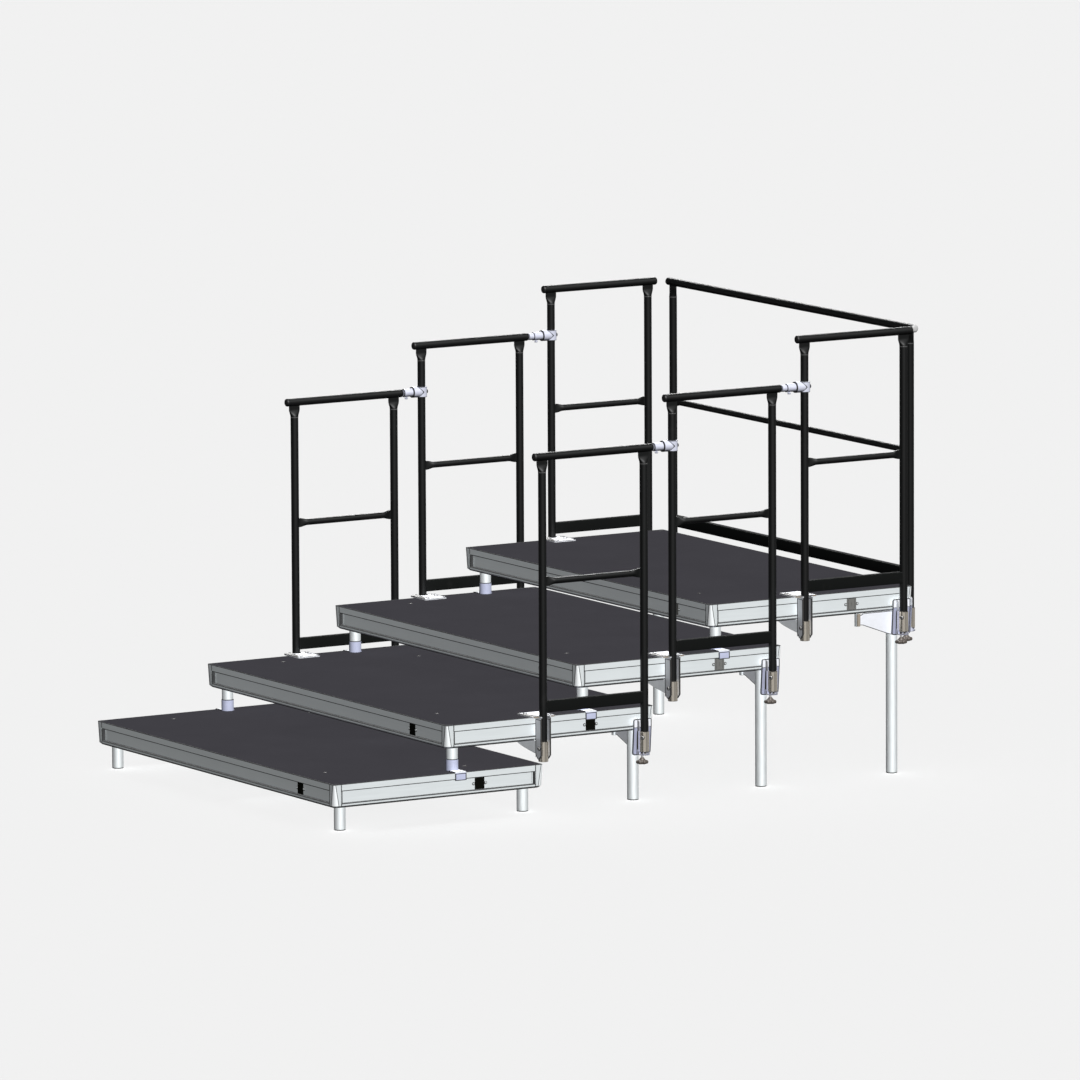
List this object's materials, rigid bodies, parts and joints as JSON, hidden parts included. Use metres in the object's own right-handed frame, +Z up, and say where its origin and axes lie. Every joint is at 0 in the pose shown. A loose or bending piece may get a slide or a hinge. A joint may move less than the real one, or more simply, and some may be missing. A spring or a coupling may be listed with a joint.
{
  "type": "choir riser",
  "caption": "Stepped stage-deck choir riser on plug-in tube legs, with lift-out guard rails at the sides and across the back.",
  "frame": {"origin": "on the floor under the middle of the riser's bounding box", "axes": "+X along the decks to the singers' left as they face front, +Y towards the back and the highest deck, +Z up"},
  "size_m": [2.096, 2.863, 1.9049],
  "materials": {
    "deck_aluminium": "natural aluminium edge profiles and cast corners, satin",
    "deck_panel": "dark film-faced plywood panel, fine non-slip texture, matt",
    "leg_tube": "bright drawn aluminium tube",
    "rail_black": "black powder coat, satin",
    "bracket_zinc": "zinc plated steel plate with nickel plated socket",
    "connector_zinc": "pale zinc plated casting",
    "knob_bronze": "dark bronze coloured star knob",
    "cup_zinc": "pale zinc plated leg cup and strap",
    "socket_nickel": "nickel plated socket tube",
    "rubber_foot": "black rubber foot",
    "coupler_black": "black coupler insert",
    "coupler_grey": "grey coupler insert",
    "end_cap": "black tube end cap",
    "screw_steel": "plated screw"
  },
  "bodies": {
    "riser": {"deck_frame_1": "deck_aluminium", "deck_panel_1": "deck_panel", "rear_leg_left_1": "leg_tube", "front_leg_left_1": "leg_tube", "rear_leg_right_1": "leg_tube", "front_leg_right_1": "leg_tube", "deck_frame_2": "deck_aluminium", "deck_panel_2": "deck_panel", "rear_leg_left_2": "leg_tube", "step_leg_left_2": "leg_tube", "front_bracket_left_2": "bracket_zinc", "rear_bracket_left_2": "bracket_zinc", "rear_leg_right_2": "leg_tube", "step_leg_right_2": "leg_tube", "front_bracket_right_2": "bracket_zinc", "rear_bracket_right_2": "bracket_zinc", "deck_frame_3": "deck_aluminium", "deck_panel_3": "deck_panel", "rear_leg_left_3": "leg_tube", "step_leg_left_3": "leg_tube", "front_bracket_left_3": "bracket_zinc", "rear_bracket_left_3": "bracket_zinc", "rear_leg_right_3": "leg_tube", "step_leg_right_3": "leg_tube", "front_bracket_right_3": "bracket_zinc", "rear_bracket_right_3": "bracket_zinc", "deck_frame_4": "deck_aluminium", "deck_panel_4": "deck_panel", "rear_leg_left_4": "leg_tube", "step_leg_left_4": "leg_tube", "front_bracket_left_4": "bracket_zinc", "rear_bracket_left_4": "bracket_zinc", "rear_leg_right_4": "leg_tube", "step_leg_right_4": "leg_tube", "front_bracket_right_4": "bracket_zinc", "rear_bracket_right_4": "bracket_zinc", "back_bracket_left": "bracket_zinc", "back_bracket_right": "bracket_zinc"},
    "rail_left_2": {"rail_left_2": "rail_black"},
    "clamp_knob_left_2": {"clamp_knob_left_2": "knob_bronze"},
    "rail_right_2": {"rail_right_2": "rail_black"},
    "clamp_knob_right_2": {"clamp_knob_right_2": "knob_bronze"},
    "rail_left_3": {"rail_left_3": "rail_black"},
    "clamp_knob_left_3": {"clamp_knob_left_3": "knob_bronze"},
    "rail_connector_left_3": {"rail_connector_left_3": "connector_zinc"},
    "rail_right_3": {"rail_right_3": "rail_black"},
    "clamp_knob_right_3": {"clamp_knob_right_3": "knob_bronze"},
    "rail_connector_right_3": {"rail_connector_right_3": "connector_zinc"},
    "rail_left_4": {"rail_left_4": "rail_black"},
    "clamp_knob_left_4": {"clamp_knob_left_4": "knob_bronze"},
    "rail_connector_left_4": {"rail_connector_left_4": "connector_zinc"},
    "rail_right_4": {"rail_right_4": "rail_black"},
    "clamp_knob_right_4": {"clamp_knob_right_4": "knob_bronze"},
    "rail_connector_right_4": {"rail_connector_right_4": "connector_zinc"},
    "rail_back": {"rail_back": "rail_black"},
    "clamp_knob_back_left": {"clamp_knob_back_left": "knob_bronze"},
    "clamp_knob_back_right": {"clamp_knob_back_right": "knob_bronze"}
  },
  "joints": [
    {"name": "lift_rail_left_2", "type": "slide", "parent": "riser", "child": "rail_left_2", "axis": [0, 0, 1], "range_m": [0, 0.2]},
    {"name": "turn_knob_left_2", "type": "hinge", "parent": "riser", "child": "clamp_knob_left_2", "pos_m": [-1.005, 0.0475, 0.171], "axis": [0, 0, 1], "continuous": true},
    {"name": "lift_rail_right_2", "type": "slide", "parent": "riser", "child": "rail_right_2", "axis": [0, 0, 1], "range_m": [0, 0.2]},
    {"name": "turn_knob_right_2", "type": "hinge", "parent": "riser", "child": "clamp_knob_right_2", "pos_m": [1.005, 0.0475, 0.171], "axis": [0, 0, 1], "continuous": true},
    {"name": "lift_rail_left_3", "type": "slide", "parent": "riser", "child": "rail_left_3", "axis": [0, 0, 1], "range_m": [0, 0.2]},
    {"name": "turn_knob_left_3", "type": "hinge", "parent": "riser", "child": "clamp_knob_left_3", "pos_m": [-1.005, 0.6775, 0.371], "axis": [0, 0, 1], "continuous": true},
    {"name": "swing_connector_left_3", "type": "hinge", "parent": "rail_left_3", "child": "rail_connector_left_3", "pos_m": [-1.024, 0.1865, 1.488], "axis": [0, 0, 1], "continuous": true},
    {"name": "lift_rail_right_3", "type": "slide", "parent": "riser", "child": "rail_right_3", "axis": [0, 0, 1], "range_m": [0, 0.2]},
    {"name": "turn_knob_right_3", "type": "hinge", "parent": "riser", "child": "clamp_knob_right_3", "pos_m": [1.005, 0.6775, 0.371], "axis": [0, 0, 1], "continuous": true},
    {"name": "swing_connector_right_3", "type": "hinge", "parent": "rail_right_3", "child": "rail_connector_right_3", "pos_m": [1.024, 0.1865, 1.488], "axis": [0, 0, 1], "continuous": true},
    {"name": "lift_rail_left_4", "type": "slide", "parent": "riser", "child": "rail_left_4", "axis": [0, 0, 1], "range_m": [0, 0.2]},
    {"name": "turn_knob_left_4", "type": "hinge", "parent": "riser", "child": "clamp_knob_left_4", "pos_m": [-1.005, 1.3285, 0.571], "axis": [0, 0, 1], "continuous": true},
    {"name": "swing_connector_left_4", "type": "hinge", "parent": "rail_left_4", "child": "rail_connector_left_4", "pos_m": [-1.024, 0.8375, 1.688], "axis": [0, 0, 1], "continuous": true},
    {"name": "lift_rail_right_4", "type": "slide", "parent": "riser", "child": "rail_right_4", "axis": [0, 0, 1], "range_m": [0, 0.2]},
    {"name": "turn_knob_right_4", "type": "hinge", "parent": "riser", "child": "clamp_knob_right_4", "pos_m": [1.005, 1.3285, 0.571], "axis": [0, 0, 1], "continuous": true},
    {"name": "swing_connector_right_4", "type": "hinge", "parent": "rail_right_4", "child": "rail_connector_right_4", "pos_m": [1.024, 0.8375, 1.688], "axis": [0, 0, 1], "continuous": true},
    {"name": "lift_rail_back", "type": "slide", "parent": "riser", "child": "rail_back", "axis": [0, 0, 1], "range_m": [0, 0.2]},
    {"name": "turn_knob_back_left", "type": "hinge", "parent": "riser", "child": "clamp_knob_back_left", "pos_m": [-0.948, 1.3915, 0.571], "axis": [0, 0, 1], "continuous": true},
    {"name": "turn_knob_back_right", "type": "hinge", "parent": "riser", "child": "clamp_knob_back_right", "pos_m": [0.948, 1.3915, 0.571], "axis": [0, 0, 1], "continuous": true}
  ]
}
